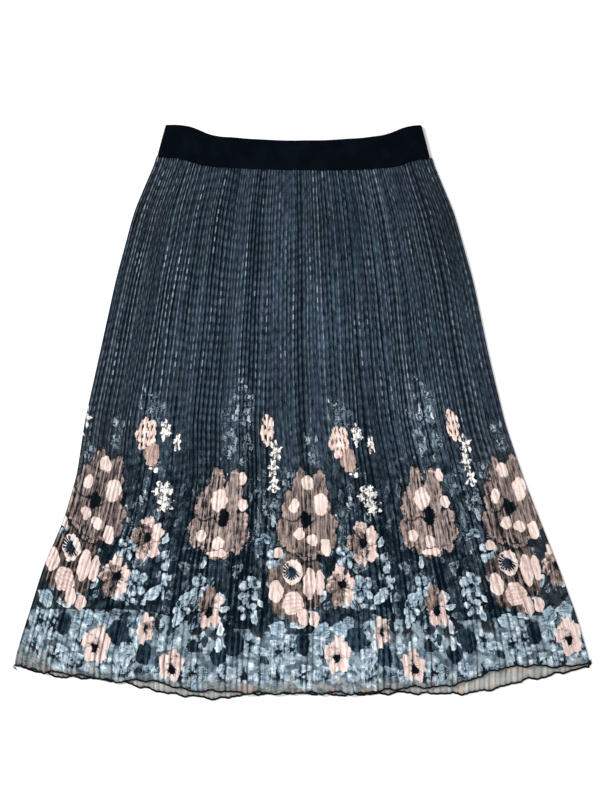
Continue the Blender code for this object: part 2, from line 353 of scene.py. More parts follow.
class Finish:
    """A material under construction."""

    def __init__(self, name):
        self.material = bpy.data.materials.new(name)
        self.material.use_nodes = True
        self.tree = self.material.node_tree
        self.tree.nodes.clear()

    def node(self, kind, settings=None, values=None, out=0):
        """Adds a node: its settings first, then the values or links of its sockets."""
        made = self.tree.nodes.new("ShaderNode" + kind)
        for key, setting in (settings or {}).items():
            if key == "stops":
                self.set_stops(made.color_ramp, setting)
            else:
                setattr(made, key, setting)
        for key, value in (values or {}).items():
            if isinstance(value, Value):
                self.tree.links.new(value.socket, made.inputs[key])
            else:
                made.inputs[key].default_value = value
        return Value(self, made.outputs[out]) if made.outputs else None

    def ramp(self, stops, value):
        """A colour read by a value from places and colours in a row."""
        return self.node("ValToRGB", {"stops": stops}, {0: value})

    @staticmethod
    def set_stops(ramp, stops):
        """Gives a ramp its places and colours."""
        while len(ramp.elements) < len(stops):
            ramp.elements.new(0.5)
        for element, (place, colour) in zip(ramp.elements, stops):
            element.position = place
            element.color = linear(colour)

    def output(self, value, out):
        """Another output of the node that a value comes from."""
        return Value(self, value.socket.node.outputs[out])

    def maths(self, operation, *numbers):
        return self.node("Math", {"operation": operation}, dict(enumerate(numbers)))

    def vector(self, operation, *vectors, out=0):
        return self.node("VectorMath", {"operation": operation}, dict(enumerate(vectors)), out)

    def length(self, vector):
        return self.vector("LENGTH", vector, out=1)

    def parts(self, vector):
        x = self.node("SeparateXYZ", None, {0: vector})
        return x, self.output(x, 1), self.output(x, 2)

    def join(self, x, y, z=0.0):
        return self.node("CombineXYZ", None, {0: x, 1: y, 2: z})

    def step(self, start, end, value):
        """0 before start, 1 past end, smooth between. start may lie past end."""
        settings = {"interpolation_type": "SMOOTHSTEP"}
        if isinstance(start, Value) or isinstance(end, Value) or start <= end:
            return self.node("MapRange", settings, {0: value, 1: start, 2: end, 3: 0.0, 4: 1.0})
        return self.node("MapRange", settings, {0: value, 1: end, 2: start, 3: 1.0, 4: 0.0})

    def blend(self, below, above, share, way="MIX"):
        """Colour above over colour below, by share."""
        values = {0: share, 6: below, 7: above}
        return self.node("Mix", {"data_type": "RGBA", "blend_type": way}, values, 2)

    def between(self, a, b, share):
        """A number between two others."""
        return self.node("Mix", None, {0: share, 2: a, 3: b})

    def choose(self, a, b, share):
        """Vector a, or b where share is 1."""
        return self.node("Mix", {"data_type": "VECTOR"}, {0: share, 4: a, 5: b}, 1)

    def attribute(self, name):
        return self.node("Attribute", {"attribute_name": name}, None, 1)

    def noise(self, vector, scale, detail=2.0, rough=0.5):
        values = {"Vector": vector, "Scale": scale, "Detail": detail, "Roughness": rough}
        return self.node("TexNoise", None, values)

    def cells(self, vector):
        """Voronoi cells of a plane: distance from the middle, and by output() colour and middle."""
        values = {"Vector": vector, "Scale": 1.0, "Randomness": CELL_SPREAD}
        return self.node("TexVoronoi", {"voronoi_dimensions": "2D"}, values)

    def chance(self, number):
        """A random colour for each whole number."""
        return self.node("TexWhiteNoise", {"noise_dimensions": "1D"}, {"W": number}, 1)

    def surface(self, values, bump=None):
        """Ends the material in a Principled BSDF with these values, and a bump on its normal."""
        if bump is not None:
            height, distance, strength = bump
            values["Normal"] = self.node(
                "Bump", None, {"Height": height, "Distance": distance, "Strength": strength}
            )
        shader = self.node("BsdfPrincipled", None, values)
        self.node("OutputMaterial", None, {0: shader})
        return self.material


class Place(NamedTuple):
    """Where a motif of the print sits: across and down in mm, and its half width and height."""

    across: float
    down: float
    half_width: float
    half_height: float


class Spot(NamedTuple):
    """A patch on a motif, measured in the motif's own half width and height."""

    x: float
    y: float
    half_x: float
    half_y: float


POPPIES = (Place(12, 448, 36, 58), Place(-101, 447, 36, 58))
POPPY_SPOTS = (  # on the first poppy, and on the second
    (Spot(0.07, -0.70, 0.24, 0.17), Spot(-0.04, -0.26, 0.30, 0.26)),
    (Spot(0.54, -0.22, 0.27, 0.26), Spot(0.76, -0.78, 0.17, 0.14)),
    (Spot(-0.44, -0.18, 0.17, 0.14), Spot(0.82, -0.18, 0.18, 0.15)),
    (Spot(-0.25, 0.46, 0.18, 0.14), Spot(-0.59, 0.54, 0.19, 0.15)),
    (Spot(0.21, 0.59, 0.21, 0.13), Spot(0.06, 0.68, 0.21, 0.12)),
    (Spot(0.68, 0.74, 0.17, 0.20), Spot(0.00, 0.90, 0.34, 0.09)),
)
UPPER_PETALS = (
    Spot(-0.19, -0.52, 0.27, 0.45),
    Spot(0.47, -0.47, 0.29, 0.46),
    Spot(-0.50, -0.08, 0.36, 0.44),
    Spot(0.24, -0.12, 0.60, 0.42),
)
LOWER_PETALS = (
    Spot(-0.48, 0.40, 0.52, 0.42),
    Spot(0.55, 0.36, 0.50, 0.50),
    Spot(0.02, 0.60, 0.58, 0.41),
)
POPPY_HEARTS = Spot(-0.03, 0.13, 0.20, 0.21), Spot(0.16, 0.11, 0.20, 0.22)
DISC_FLOWER = Place(-2, 543, 35, 51)
DISC_PETALS = (
    Spot(-0.67, 0.10, 0.25, 0.30),
    Spot(0.48, -0.10, 0.21, 0.40),
    Spot(0.84, -0.10, 0.19, 0.32),
    Spot(0.27, 0.76, 0.19, 0.22),
    Spot(0.64, 0.82, 0.17, 0.22),
    Spot(-0.62, -0.87, 0.17, 0.13),
)
DISC_FAN = Spot(-0.08, 0.42, 0.37, 0.31)
DISC = Spot(-0.11, -0.38, 0.35, 0.32)
BLOSSOMS = (
    Place(84, 487, 20, 30),
    Place(53, 543, 18, 29),
    Place(46, 632, 16, 26),
    Place(98, 603, 10, 22),
    Place(-141, 647, 15, 22),
    Place(-103, 570, 16, 30),
)
BUDS = (Place(60, 355, 15, 22), Place(-42, 340, 11, 22), Place(71, 378, 10, 17))
CREAM_SPRIGS = (
    Place(84, 345, 9, 14),
    Place(94, 424, 14, 17),
    Place(100, 440, 11, 13),
    Place(-30, 366, 9, 14),
    Place(-33, 388, 8, 13),
    Place(-31, 410, 7, 12),
    Place(104, 358, 6, 12),
    Place(78, 393, 9, 8),
)
DARK_LEAVES = (
    Place(67, 611, 13, 17),
    Place(-72, 616, 12, 18),
    Place(100, 634, 9, 14),
    Place(7, 618, 9, 14),
    Place(-89, 633, 9, 12),
)
BLUE_SPIRES = (
    Place(-84, 335, 28, 60),
    Place(62, 322, 20, 22),
    Place(-13, 401, 11, 14),
    Place(20, 365, 10, 26),
    Place(-56, 413, 11, 22),
    Place(-34, 433, 12, 24),
    Place(-53, 487, 14, 20),
    Place(-27, 489, 9, 14),
    Place(58, 466, 8, 26),
    Place(71, 430, 7, 25),
)


class Print:
    """What is printed on the mesh, laid down motif by motif, and how dense the ink is."""

    def __init__(self, ink, spot):
        self.ink = ink
        drifts = ink.output(ink.noise(spot, 0.07), 1)
        wobble = ink.vector("SUBTRACT", drifts, (0.5, 0.5, 0.5))
        self.spot = ink.vector("MULTIPLY_ADD", wobble, (9.0, 11.0, 0.0), spot)
        self.cloud = ink.parts(drifts)[2]
        self.down = ink.parts(spot)[1]
        self.grain = ink.noise(ink.vector("MULTIPLY", spot, (0.60, 0.035, 0.0)), 1.0, 3.0, 0.6)
        self.mottle = ink.noise(spot, 0.16, 3.0, 0.65)
        self.colour = linear("000000")
        self.cover = 0.0

    def lay(self, tone, shape, body=1.0):
        """Prints a tone inside a shape, over what is there."""
        self.colour = self.ink.blend(self.colour, tone, shape)
        self.cover = self.ink.maths("MAXIMUM", self.cover, shape * body)

    def local(self, place):
        """The point measured from a motif's middle, in its half width and height."""
        scale = (1 / place.half_width, 1 / place.half_height, 0.0)
        shift = (-place.across / place.half_width, -place.down / place.half_height, 0.0)
        return self.ink.vector("MULTIPLY_ADD", self.spot, scale, shift)

    def nearest(self, places):
        """The point as the nearest motif of several sees it, its distance and which motif it is."""
        ink = self.ink
        inside = self.local(places[0])
        best, which = ink.length(inside), 0.0
        for i, place in enumerate(places[1:], 1):
            here = self.local(place)
            away = ink.length(here)
            closer = away < best
            inside = ink.choose(inside, here, closer)
            which = ink.between(which, float(i), closer)
            best = ink.maths("MINIMUM", best, away)
        return inside, best, which

    def away_from(self, here, spot):
        """How far out from a spot's middle the point lies: 1 on its edge."""
        scale = (1 / spot.half_x, 1 / spot.half_y, 0.0)
        shift = (-spot.x / spot.half_x, -spot.y / spot.half_y, 0.0)
        return self.ink.length(self.ink.vector("MULTIPLY_ADD", here, scale, shift))

    def patch(self, here, spot, soft=0.12):
        """1 inside a spot of a motif, 0 outside."""
        return self.ink.step(1.0, 1.0 - soft, self.away_from(here, spot))

    def petals_round(self, here, away, petals, depth, phase=0.0, frill=0.0):
        """1 inside a flower's outline of so many petals, how far round the petal a point lies, and
        the direction from the flower's middle."""
        ink = self.ink
        x, y, _ = ink.parts(here)
        turn = ink.maths("ARCTAN2", y, x)
        petal = abs(ink.maths("SINE", turn * (petals / 2) + phase))
        edge = (1 - depth) + petal * depth + (self.mottle - 0.5) * 0.30
        if frill:
            edge = edge + ink.maths("SINE", turn * (petals * 2 + 3.0)) * frill
        return ink.step(0.02, -0.06, away - edge), petal, turn

    def scatter(self, cell, seed, size, stretch=1.7, taper=0.9):
        """Petals thrown over the cloth, one to a cell: where they are, how far along and out from
        the middle of one a point lies, and chances for each. taper narrows them to one end."""
        ink = self.ink
        scale = (1 / cell[0], 1 / cell[1], 0.0)
        shifted = ink.vector("MULTIPLY_ADD", self.spot, scale, (seed, seed * 1.7, 0.0))
        cells = ink.cells(shifted)
        chances = ink.parts(ink.output(cells, 1))
        offset = ink.vector("SUBTRACT", shifted, ink.output(cells, 2))
        angle = {"Vector": offset, "Angle": chances[0] * (2 * pi)}
        turned = ink.node("VectorRotate", {"rotation_type": "Z_AXIS"}, angle)
        x, y, _ = ink.parts(turned)
        notch = abs(x) * taper * 0.35
        away = ink.length(ink.join(x * stretch * 0.8 / (0.72 + taper * y), y + notch))
        away = away / (size * (0.65 + 0.5 * chances[1])) + (self.mottle - 0.5) * 0.64
        return ink.step(1.06, 0.92, away), turned, away, chances

    def streaked(self, dark, light, low=0.30, high=0.70):
        """A tone with the streaks of the mesh's ribs."""
        return self.ink.blend(linear(dark), linear(light), self.ink.step(low, high, self.grain))


def print_ground(art, past_lining):
    """Slate above, darker between the flowers, and a paler blue-grey where no lining lies behind:
    painted light, standing in for light through the sheer mesh.
    """
    ink = art.ink
    level = art.down + (art.mottle - 0.5) * 70
    patch = ink.step(0.44, 0.60, art.cloud + (art.mottle - 0.5) * 0.5)
    hem = ink.blend(linear("6f7d83"), linear("abb5b4"), ink.step(0.40, 0.62, art.mottle))
    hem = ink.blend(hem, linear("c8afa3"), ink.step(0.52, 0.60, art.cloud) * 0.85)
    cast = ink.noise(ink.vector("MULTIPLY", art.spot, (0.045, 0.010, 0.0)), 1.0, 2.0)
    slate = ink.blend(linear("2b3b44"), linear("2e3747"), ink.step(0.35, 0.65, cast))
    among = ink.blend(linear("1f2a34"), linear("3f4c57"), patch)
    # Painted light: a paler ground for where no lining lies behind the sheer mesh
    below = ink.blend(linear("657f92"), linear("a8bfcb"), patch)
    art.colour = ink.blend(slate, among, ink.step(335, 430, level))
    art.colour = ink.blend(art.colour, below, past_lining)
    art.colour = ink.blend(art.colour, hem, ink.step(652, 678, level))
    art.cover = 0.97 - ink.step(330, 450, level) * 0.30 - past_lining * 0.37


def print_leaves(art):
    """Big dark leaves, some at set places by the hem."""
    ink = art.ink
    leaf, _, _, chances = art.scatter((24, 38), 3.3, 0.46, 1.35)
    stops = (0.0, "0f1820"), (0.45, "1b2833"), (0.75, "34434f"), (1.0, "5b6b77")
    tone = ink.ramp(stops, chances[2] * 0.8 + (art.mottle - 0.5) * 0.6)
    art.lay(tone, leaf * ink.step(420, 470, art.down) * ink.step(625, 600, art.down), 0.8)


def print_dark_leaves(art):
    """Round dark leaves over the thin cloth by the hem, five at set places and others between."""
    ink = art.ink
    _, away, _ = art.nearest(DARK_LEAVES)
    leaf = ink.step(1.04, 0.90, away + (art.mottle - 0.5) * 0.25)
    art.lay(art.streaked("1a2b37", "334453"), leaf)
    small, _, _, chances = art.scatter((17, 25), 51.6, 0.42, 1.3)
    here = small * (chances[2] < 0.24) * ink.step(565, 600, art.down) * ink.step(668, 655, art.down)
    art.lay(art.streaked("1f313d", "425461"), here, 0.9)


def print_petals(art, cell, seed, size, tones, density, end=682):
    """Single petals. density gives the share of cells that hold one, by how far down they are."""
    ink = art.ink
    petal, turned, away, chances = art.scatter(cell, seed, size)
    start, top_share, full, low_share = density
    share = ink.step(start, full, art.down) * (low_share - top_share) + top_share
    x, y, _ = ink.parts(turned)
    veins = ink.noise(ink.join(x * 17.0, y * 3.0, chances[0] * 9.0), 1.0, 2.0)
    stops = tuple(zip((0.0, 0.35, 0.70, 1.0), tones))
    tone = chances[2] * 0.60 + away * 0.30 + (veins - 0.5) * 1.7 + (art.cloud - 0.5) * 0.8
    tone = tone + (art.grain - 0.5) * 1.1 - ink.step(0.90, 1.02, away) * 0.2
    tone = tone - ink.step(610, 560, art.down) * 0.12
    tone = ink.ramp(stops, tone)
    here = petal * (chances[1] < share) * ink.step(start - 25, start + 15, art.down)
    art.lay(tone, here * ink.step(end + 8, end - 8, art.down + (art.mottle - 0.5) * 30), 0.85)


def print_rosettes(art):
    """Loose pale flowers of five petals, in a band below the poppies and along the hem."""
    ink = art.ink
    _, turned, away, chances = art.scatter((28, 38), 8.2, 0.56, 0.9, taper=0.0)
    x, y, _ = ink.parts(turned)
    turn = ink.maths("ARCTAN2", y, x)
    petal = abs(ink.maths("SINE", turn * 2.5 + chances[0] * 3))
    shape = ink.step(0.06, -0.06, away - (0.55 + 0.45 * petal) - (art.mottle - 0.5) * 0.4)
    stops = (0.0, "15222d"), (0.3, "57697a"), (0.65, "9fb1bd"), (1.0, "dae5ea")
    tone = petal * 0.40 + away * 0.45 + (art.mottle - 0.5) * 1.7 + (art.grain - 0.5) * 1.3
    tone = ink.ramp(stops, tone)
    tone = ink.blend(tone, linear("101820"), ink.step(0.24, 0.14, away))
    where = ink.step(478, 510, art.down) * (1 - ink.step(548, 575, art.down) * 0.6)
    where = ink.maths("MAXIMUM", where * 0.75, ink.step(590, 615, art.down) * 0.85)
    art.lay(tone, shape * (chances[1] < where) * ink.step(674, 662, art.down), 0.9)


def print_sprigs(art, pane):
    """Fine blue-grey petals and tendrils in tall spires, and small cream flowers."""
    ink = art.ink
    fine, _, _, chances = art.scatter((5.5, 9.5), 41.3, 0.50, 1.4)
    _, away, _ = art.nearest(BLUE_SPIRES)
    where = ink.step(1.20, 0.60, away + (art.mottle - 0.5) * 1.2)
    tendril = ink.step(0.045, 0.015, abs(art.mottle - 0.52))
    stops = (0.0, "222e38"), (0.35, "526270"), (0.7, "93a2ac"), (1.0, "f0f4f5")
    share = chances[2] * 0.7 + (art.grain - 0.4) * 0.5 + pane * 0.15
    tone = ink.ramp(stops, share)
    shape = ink.maths("MAXIMUM", fine * (chances[1] < where * 0.75), tendril * where)
    art.lay(tone, shape, 0.9)
    here, away, which = art.nearest(CREAM_SPRIGS)
    ragged = ink.noise(art.spot, 0.24, 1.0)
    frayed = away - (ragged - 0.5) * 0.9
    shape, petal, _ = art.petals_round(here, frayed, 6.0, 0.50, phase=which * 1.9)
    pale = ink.step(0.42, 0.34, art.mottle * 0.8 + (art.grain - 0.5) * 0.4 - petal * 0.05)
    art.lay(ink.blend(linear("6e6868"), linear("efece8"), pale), shape)


def print_buds(art, pane):
    """Pale buds, windowed by the dashes of the mesh."""
    ink = art.ink
    here, away, which = art.nearest(BUDS)
    shape, _, _ = art.petals_round(here, away, 5.0, 0.20, phase=0.4, frill=0.03)
    tone = ink.blend(linear("cfaea4"), linear("efdfd6"), ink.step(0.35, 0.65, art.grain))
    tone = ink.blend(tone, linear("7a5f57"), pane * 0.9)
    tone = ink.blend(tone, art.streaked("7d6963", "cdb1a7"), ink.step(1.5, 1.9, which))
    art.lay(tone, shape)


def print_blossoms(art):
    """Small pink flowers with a dark heart, each a little different."""
    ink = art.ink
    here, away, which = art.nearest(BLOSSOMS)
    lean, tilt, twist = ink.parts(ink.chance(which + 0.5))
    shape, petal, turn = art.petals_round(here, away, 5.0, 0.26, phase=lean * 3.0, frill=0.05)
    x, y, _ = ink.parts(here)
    low = ink.step(585, 625, art.down)
    side = x * (lean - 0.5) + y * (tilt - 0.3) + low * 0.40
    pale = ink.step(0.25, 0.75, away * 0.9 + side * 1.2 + (art.mottle - 0.5) * 1.8)
    tone = ink.blend(art.streaked("50433f", "97847c"), art.streaked("c9aaa1", "ecdcd7"), pale)
    between = ink.step(0.34, 0.06, petal) * ink.step(0.15, 0.3, away) * ink.step(0.35, 0.6, art.mottle)
    tone = ink.blend(tone, linear("2c2526"), between * (0.8 - low * 0.6))
    off = ink.vector("SUBTRACT", here, ink.join((twist - 0.5) * 0.3, (tilt - 0.3) * 0.4))
    from_heart = ink.length(off) + (art.mottle - 0.5) * 0.3
    rays = ink.step(0.3, 0.7, ink.maths("SINE", turn * 17.0)) * ink.step(0.50, 0.28, from_heart)
    heart = ink.maths("MAXIMUM", ink.step(0.28, 0.20, from_heart), rays * 0.7)
    art.lay(ink.blend(tone, linear("0d1116"), heart), shape)


def print_disc_flower(art):
    """A taupe flower with a disc of stamens and striped petals."""
    ink = art.ink
    here = art.local(DISC_FLOWER)
    _, y, _ = ink.parts(here)
    body, _, _ = art.petals_round(here, ink.length(here), 6.0, 0.24, phase=0.6)
    art.lay(art.streaked("4d423f", "8d7c74"), body)
    pink = art.streaked("cdb0a7", "ead9d3")
    for spot in DISC_PETALS:
        art.lay(pink, art.patch(here, spot, 0.08))
    stripes = ink.step(-0.2, 0.5, ink.maths("SINE", y * 62.0))
    art.lay(ink.blend(pink, linear("b08d83"), stripes * 0.4), art.patch(here, DISC_FAN, 0.06))
    art.lay(art.streaked("d9c0b8", "f0e4df"), art.patch(here, DISC, 0.06))
    from_disc = ink.parts(ink.vector("SUBTRACT", here, (DISC.x - 0.02, DISC.y, 0.0)))
    turn = ink.maths("ARCTAN2", from_disc[1], from_disc[0])
    rays = ink.step(-1.0, -0.2, ink.maths("SINE", turn * 19.0))
    half = Spot(DISC.x - 0.03, DISC.y - 0.02, DISC.half_x * 0.94, DISC.half_y * 0.86)
    fan = art.patch(here, half) * ink.step(-0.17, -0.10, from_disc[1] - from_disc[0] * 0.70)
    core = ink.step(0.24, 0.14, ink.length(ink.join(from_disc[0], from_disc[1])))
    art.lay(art.streaked("22303c", "46586a"), fan * ink.maths("MAXIMUM", rays, core))


def print_poppies(art):
    """The two big poppies: five taupe petals, pink patches and a dark heart."""
    ink = art.ink
    here, _, second = art.nearest(POPPIES)
    x, y, _ = ink.parts(here)
    fine = ink.noise(art.spot, 0.55, 1.0) - 0.5
    rough = (art.mottle - 0.5) * 0.30 + fine * 0.45
    scallop = abs(ink.maths("SINE", ink.maths("ARCTAN2", y, x) * 8.0 + second)) * 0.18

    def within(spots, dent=0.0):
        """How far out from the middle of a spot the point lies, on either poppy."""
        middle = ink.choose((*spots[0][:2], 0.0), (*spots[1][:2], 0.0), second)
        half = ink.choose((*spots[0][2:], 1.0), (*spots[1][2:], 1.0), second)
        return ink.length(ink.vector("DIVIDE", ink.vector("SUBTRACT", here, middle), half)) + dent

    def beyond(petals):
        """How far out from the nearest of some petals the point lies: 1 on its edge."""
        best = art.away_from(here, petals[0])
        for petal in petals[1:]:
            best = ink.maths("MINIMUM", best, art.away_from(here, petal))
        return best

    upper, lower = beyond(UPPER_PETALS), beyond(LOWER_PETALS)
    edge = ink.maths("MINIMUM", upper, lower) + rough * 0.5 - scallop
    art.lay(linear("10171e"), ink.step(1.15, 1.02, edge) * 0.85)
    dusk, dawn = art.streaked("4f4545", "9f8d85"), art.streaked("685b5b", "b9a69f")
    taupe = ink.blend(dusk, dawn, ink.step(0.35, 0.7, art.mottle) * (0.30 + second * 0.70))
    rim = ink.step(0.66, 0.88, edge) * ink.step(0.50, 0.60, art.mottle) * (0.6 + second * 0.4)
    taupe = ink.blend(taupe, linear("cdb2a8"), rim * 0.7)
    crease = ink.step(0.17, 0.03, abs(upper - lower) + fine * 0.14)
    hem = ink.step(0.07, 0.02, abs(lower - 0.86 + rough * 0.2))
    hem = hem * ink.step(0.45, 0.70, y - abs(x) * 0.4)
    crease = ink.maths("MAXIMUM", crease, hem)
    crease = crease * ink.step(0.38, 0.52, art.cloud) * 0.85
    art.lay(ink.blend(taupe, linear("1d1819"), crease), ink.step(1.0, 0.93, edge))
    pink = art.streaked("cbaea4", "e6d4cc", 0.2, 0.6)
    for spots in POPPY_SPOTS:
        art.lay(pink, ink.step(1.04, 0.92, within(spots, rough * 0.25)))
    art.lay(linear("0b0e13"), ink.step(1.10, 0.92, within(POPPY_HEARTS, rough * 1.2)))


def printed_mesh():
    """The outer cloth: sheer pleated mesh with a border of flowers printed on it, and painted light and
    shade down its pleats.
    """
    ink = Finish("printed_mesh")
    place, length, bare = ink.parts(ink.attribute("pleat"))
    reach, down, width = ink.parts(ink.attribute("print"))
    stray = ink.noise(ink.join(place * 0.17, length * 0.004, 3.0), 1.0, 2.0)
    place = place + (stray - 0.5) * STRAY
    phase = ink.maths("FRACT", place)
    luck, _, luck_two = ink.parts(ink.chance(ink.maths("FLOOR", place)))

    # The dashes woven along each pleat, nearly level with their neighbours
    drift = ink.noise(ink.join(place * 0.06, length * 0.004), 1.0, 1.0)
    jitter = ink.noise(ink.join(place * 1.3, length * 0.05), 1.0, 1.0)
    beat = length / DASH_PITCH + luck_two * 0.55 + drift * 3.0 + jitter * 0.9
    beat = ink.maths("FRACT", beat)
    dash = ink.step(0.02, 0.12, beat) * ink.step(0.66, 0.54, beat)
    line = ink.maths("FLOOR", place + 0.5)
    beside = place - line
    pane = (1 - dash) * ink.step(0.34, 0.20, abs(beside))

    # The print, broken up by the folds of the pleats
    sway = reach / SIDE_REACH
    lift = ink.between(LEFT_LIFT, RIGHT_LIFT, ink.step(-0.3, 0.3, sway))
    down = down + (luck - 0.5) * 2.2 + lift * sway * sway * sway * sway
    across = reach - (phase - 0.5) * width * HIDDEN
    across = across + ink.step(90, 200, reach) * RIGHT_SLIP + ink.step(-190, -280, reach) * LEFT_SLIP
    across = across - REPEAT * ink.maths("FLOOR", (across - REPEAT_START) / REPEAT)
    art = Print(ink, ink.join(across, down))
    print_ground(art, ink.step(-0.8, 0.8, bare))
    print_leaves(art)
    dim = ("1d2730", "3f4c56", "687680", "9aa7b0")
    print_petals(art, (15, 23), 19.4, 0.50, dim, (385, 0.75, 450, 0.95), end=600)
    pale = ("3b5061", "7f96a6", "b0c3cf", "e4eef2")
    print_petals(art, (24, 34), 11.1, 0.50, pale, (475, 0.08, 610, 0.95))
    print_rosettes(art)
    print_dark_leaves(art)
    pale = ("30424f", "8a9eab", "bccdd6", "f0f5f7")
    print_petals(art, (19, 27), 27.7, 0.46, pale, (450, 0.10, 620, 0.45))
    print_sprigs(art, pane)
    print_blossoms(art)
    print_disc_flower(art)
    print_poppies(art)
    print_buds(art, pane)

    # Painted light and shade down the pleats: shade in the valleys and highlights on the crests. Pale
    # ink hides most of it
    inked = ink.step(0.10, 0.30, ink.node("RGBToBW", None, {0: art.colour}))
    depth, narrow, _ = ink.parts(ink.chance(line + 0.5))
    streak = ink.noise(ink.join(place * 1.6, length * 0.055), 1.0, 4.0, 0.8)
    broad = ink.noise(ink.join(place * 0.11, length * 0.004), 1.0, 2.0)
    # Painted light and shade of soft folds, lighter and darker down the pleats
    folds = ink.noise(ink.join(place * 0.38, length * 0.007, 7.0), 1.0, 2.0, 0.6)
    patchy = ink.noise(ink.join(line * 1.7, length * 0.013), 1.0, 1.0)
    # Painted shade in the pleats' valleys: dark lines of uneven depth, deeper in some stretches
    valley = ink.step(0.27 + narrow * 0.30, 0.15, abs(beside + 0.04))
    valley = valley * (0.22 + 1.45 * ink.step(0.35, 0.85, depth) + ink.step(0.55, 0.35, patchy) * 0.50)
    valley = valley * (1 - dash * 0.48) * (1 - inked * 0.80)
    # Sharper painted shade in the deepest valleys, more of it towards the hem
    sharp_valley_shade = ink.step(0.58, 0.74, depth) * ink.step(0.17, 0.07, abs(beside + 0.04))
    sharp_valley_shade = sharp_valley_shade * (0.25 + 0.9 * patchy) * (0.2 + 0.8 * ink.step(520, 590, length))
    valley = ink.maths("MAXIMUM", valley, sharp_valley_shade)
    # Where each pleat's crest takes its painted highlight
    crest = ink.step(-0.46, -0.34, beside) * ink.step(-0.12, -0.24, beside)
    # Painted shade: darker towards the side seams and towards the waist
    edges = ink.step(150, 290, abs(reach - 25.0)) * 0.28
    edges = edges + ink.step(190, 60, length) * 0.18
    # The tint carries painted light: lighter across each pleat towards its crest
    tint = ink.maths("MAXIMUM", 6.0 * streak - 2.1, 0.05)
    tint = tint * (0.78 + 0.40 * phase) * (0.30 + 1.30 * broad) * (0.26 + 1.46 * folds) * (1 - edges)
    tint = tint * (0.90 + 0.22 * dash)
    tint = ink.between(tint, 0.60 + 0.80 * streak, inked * 0.8)
    colour = ink.blend(art.colour, ink.join(tint, tint, tint), 1.0, "MULTIPLY")
    # Painted shade: the valleys darkened
    colour = ink.blend(colour, linear(VALLEY_SHADE), ink.maths("MINIMUM", valley, 0.96))
    # Painted highlight along the crests, in dashes, strongest in some patches, fading out lower down
    bright = ink.step(0.59, 0.72, patchy)
    crest_highlight = crest * (0.45 + 0.55 * dash) * (0.09 + 0.28 * luck * luck + 0.48 * bright * dash)
    colour = ink.blend(colour, linear(CREST_HIGHLIGHT), crest_highlight * (1 - inked) * ink.step(460, 280, length))

    backfacing = ink.node("NewGeometry", None, None, 6)
    alpha = (0.38 + 0.60 * art.cover) * (1 - backfacing)
    values = {"Base Color": colour, "Roughness": 0.6, "Specular IOR Level": 0.03, "Alpha": alpha}
    values["Specular Tint"] = (0.35, 0.70, 1.0, 1.0)
    return ink.surface(values)


def mesh_reverse():
    """The inner side of the mesh: unprinted grey-beige, with the pleats' streaks and painted shade in
    their valleys.
    """
    yarn = Finish("mesh_reverse")
    place, length, _ = yarn.parts(yarn.attribute("pleat"))
    streak = yarn.noise(yarn.join(place * 0.9, length * 0.012), 1.0, 2.0, 0.6)
    # Painted shade in the pleats' valleys
    valley = yarn.step(0.30, 0.05, abs(place - yarn.maths("FLOOR", place + 0.5)))
    shade = yarn.step(0.25, 0.75, streak) * (1 - valley * 0.7)
    colour = yarn.blend(linear("6f6f6b"), linear("bcbab2"), shade)
    flowers = yarn.noise(yarn.attribute("print"), 0.055, 3.0, 0.6)
    colour = yarn.blend(colour, linear("878e90"), yarn.step(0.48, 0.60, flowers) * 0.7)
    colour = yarn.blend(colour, linear("c6aa9d"), yarn.step(0.42, 0.36, flowers) * 0.6)
    backfacing = yarn.node("NewGeometry", None, None, 6)
    values = {"Base Color": colour, "Roughness": 0.6, "Specular IOR Level": 0.06}
    values["Alpha"] = 0.82 - 0.82 * backfacing
    return yarn.surface(values)


def lining_cloth():
    """Plain dark lining: a smooth knit with a faint rib."""
    cloth = Finish("lining_knit")
    place = cloth.node("TexCoord", None, None, 3)
    x, _, _ = cloth.parts(place)
    rib = cloth.maths("SINE", x * (2 * pi / LINING_RIB))
    tone = cloth.noise(place, 14.0, 3.0)
    colour = cloth.blend(linear("05090e"), linear("0c1319"), tone)
    values = {"Base Color": colour, "Roughness": 0.7, "Specular IOR Level": 0.03}
    return cloth.surface(values, (rib, 0.1 * MM, 0.5))


def elastic_web():
    """Black woven elastic with fine ribs along its length."""
    web = Finish("elastic_web")
    across, along, _ = web.parts(web.attribute("web"))
    rib = web.maths("SINE", across * (2 * pi / RIB_PITCH))
    row = web.maths("FLOOR", across / RIB_PITCH)
    weave = web.maths("SINE", along * (2 * pi / PICK_PITCH) + row * pi)
    wear = web.noise(web.attribute("web"), 0.05, 3.0)
    colour = web.blend(linear("02060b"), linear("080e16"), web.step(0.35, 0.75, wear) * 0.6 + rib * 0.1)
    values = {"Base Color": colour, "Roughness": 0.85, "Specular IOR Level": 0.02}
    return web.surface(values, (rib + weave * 0.4, 0.14 * MM, 0.6))


def overlock_thread():
    """Dark spun thread."""
    thread = Finish("overlock_thread")
    place = thread.node("TexCoord", None, None, 3)
    twist = thread.noise(place, 900.0, 2.0)
    colour = thread.blend(linear("030508"), linear("10151b"), twist)
    values = {"Base Color": colour, "Roughness": 0.75, "Specular IOR Level": 0.1}
    return thread.surface(values, (twist, 0.1 * MM, 0.4))


# ---------------------------------------------------------------------------------------------
# Pleated cloth
# ---------------------------------------------------------------------------------------------


def pleat_columns():
    """Shares of the width for all columns, and each one's pleat number and phase."""
    rng = Random(PLEAT_SEED)
    widths = np.array([1 + PLEAT_UNEVEN * rng.uniform(-1, 1) for _ in range(PLEATS)])
    starts = np.concatenate([[0.0], np.cumsum(widths) / widths.sum()])
    places = (np.arange(PLEATS)[:, None] + np.array(PROFILE)[None, :]).ravel()
    places = np.append(places, PLEATS)
    whole = np.minimum(places.astype(int), PLEATS - 1)
    return mix(starts[whole], starts[whole + 1], places - whole), places


